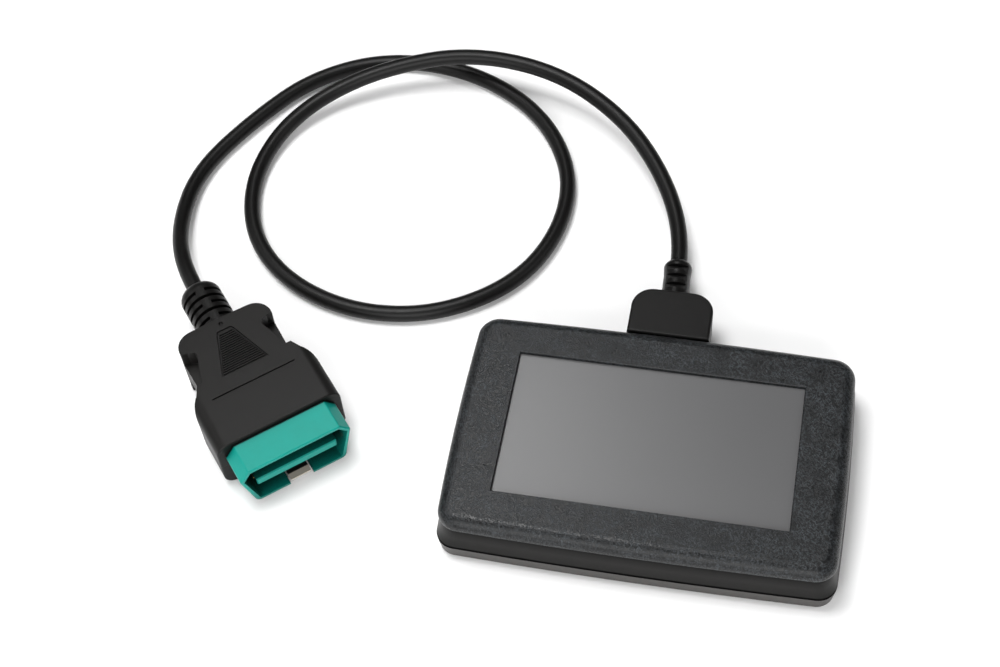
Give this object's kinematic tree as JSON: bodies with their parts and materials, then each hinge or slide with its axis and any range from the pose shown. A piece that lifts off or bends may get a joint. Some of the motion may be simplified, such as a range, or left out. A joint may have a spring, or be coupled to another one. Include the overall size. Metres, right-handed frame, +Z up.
{
  "type": "vehicle diagnostic code reader",
  "caption": "Handheld touch-screen vehicle code reader with a short looped lead ending in a trapezoidal diagnostic plug.",
  "frame": {"origin": "on the table, under the middle of the case's footprint", "axes": "+X across the screen to the right, +Y to the back where the lead plugs in, +Z up out of the screen"},
  "size_m": [0.2545, 0.2132, 0.022],
  "materials": {
    "grained_cover": "leather-grained moulded plastic",
    "satin_band": "satin moulded plastic",
    "lower_shell": "satin moulded plastic",
    "foot_rubber": "matt",
    "screen_glass": "semi-gloss grey, unlit display under a hard-coated cover",
    "foam": "closed-cell foam",
    "panel_steel": "thin plated sheet",
    "panel_cell": "polariser film",
    "light_guide": "diffusing film",
    "board_green": "solder mask",
    "chip_black": "moulded epoxy",
    "can_metal": "drawn can",
    "ferrite": "sintered",
    "ribbon_film": "polyimide film",
    "connector_cream": "moulded nylon",
    "screw_steel": "zinc plated",
    "brass": "knurled",
    "shield_steel": "tin plated",
    "insulator_black": "moulded nylon",
    "contact_gold": "gold flash",
    "hood_black": "satin moulded",
    "relief_black": "flexible moulding",
    "cable_black": "satin jacket",
    "boot_black": "flexible moulding",
    "plug_black": "fine-textured moulding",
    "nose_teal": "satin moulded",
    "leaf_steel": "nickel plated"
  },
  "bodies": {
    "case": {"top_cover": "grained_cover", "middle_band": "satin_band", "bottom_cover": "lower_shell", "rubber_feet": "foot_rubber", "touch_glass": "screen_glass", "display_gasket": "foam", "lcd_frame": "panel_steel", "lcd_cell": "panel_cell", "backlight": "light_guide", "main_board": "board_green", "processor": "chip_black", "memory_chip": "chip_black", "transceiver": "chip_black", "capacitors": "can_metal", "power_inductor": "ferrite", "crystal": "can_metal", "buzzer": "chip_black", "ribbon_connector": "connector_cream", "display_ribbon": "ribbon_film", "board_screws": "screw_steel", "case_screws": "screw_steel", "threaded_inserts": "brass", "socket_shell": "shield_steel", "socket_insulator": "insulator_black", "socket_contacts": "contact_gold"},
    "lead": {"plug_shell": "shield_steel", "plug_insulator": "insulator_black", "plug_contacts": "contact_gold", "plug_hood": "hood_black", "strain_relief": "relief_black", "lead_cable": "cable_black", "plug_boot": "boot_black", "obd_shell_top": "plug_black", "obd_shell_bottom": "plug_black", "connector_housing": "nose_teal", "upper_pins": "contact_gold", "lower_pins": "contact_gold"},
    "latch": {"latch_spring": "leaf_steel"}
  },
  "joints": [
    {"name": "lead_unplug", "type": "slide", "parent": "case", "child": "lead", "axis": [0, 1, 0], "range_m": [0, 0.012]},
    {"name": "latch_flex", "type": "hinge", "parent": "lead", "child": "latch", "pos_m": [-0.11998, -0.01459, 0.00225], "axis": [-0.7627, -0.6468, 0], "range_deg": [0, 7], "stiffness_Nm_per_rad": 0.05}
  ]
}
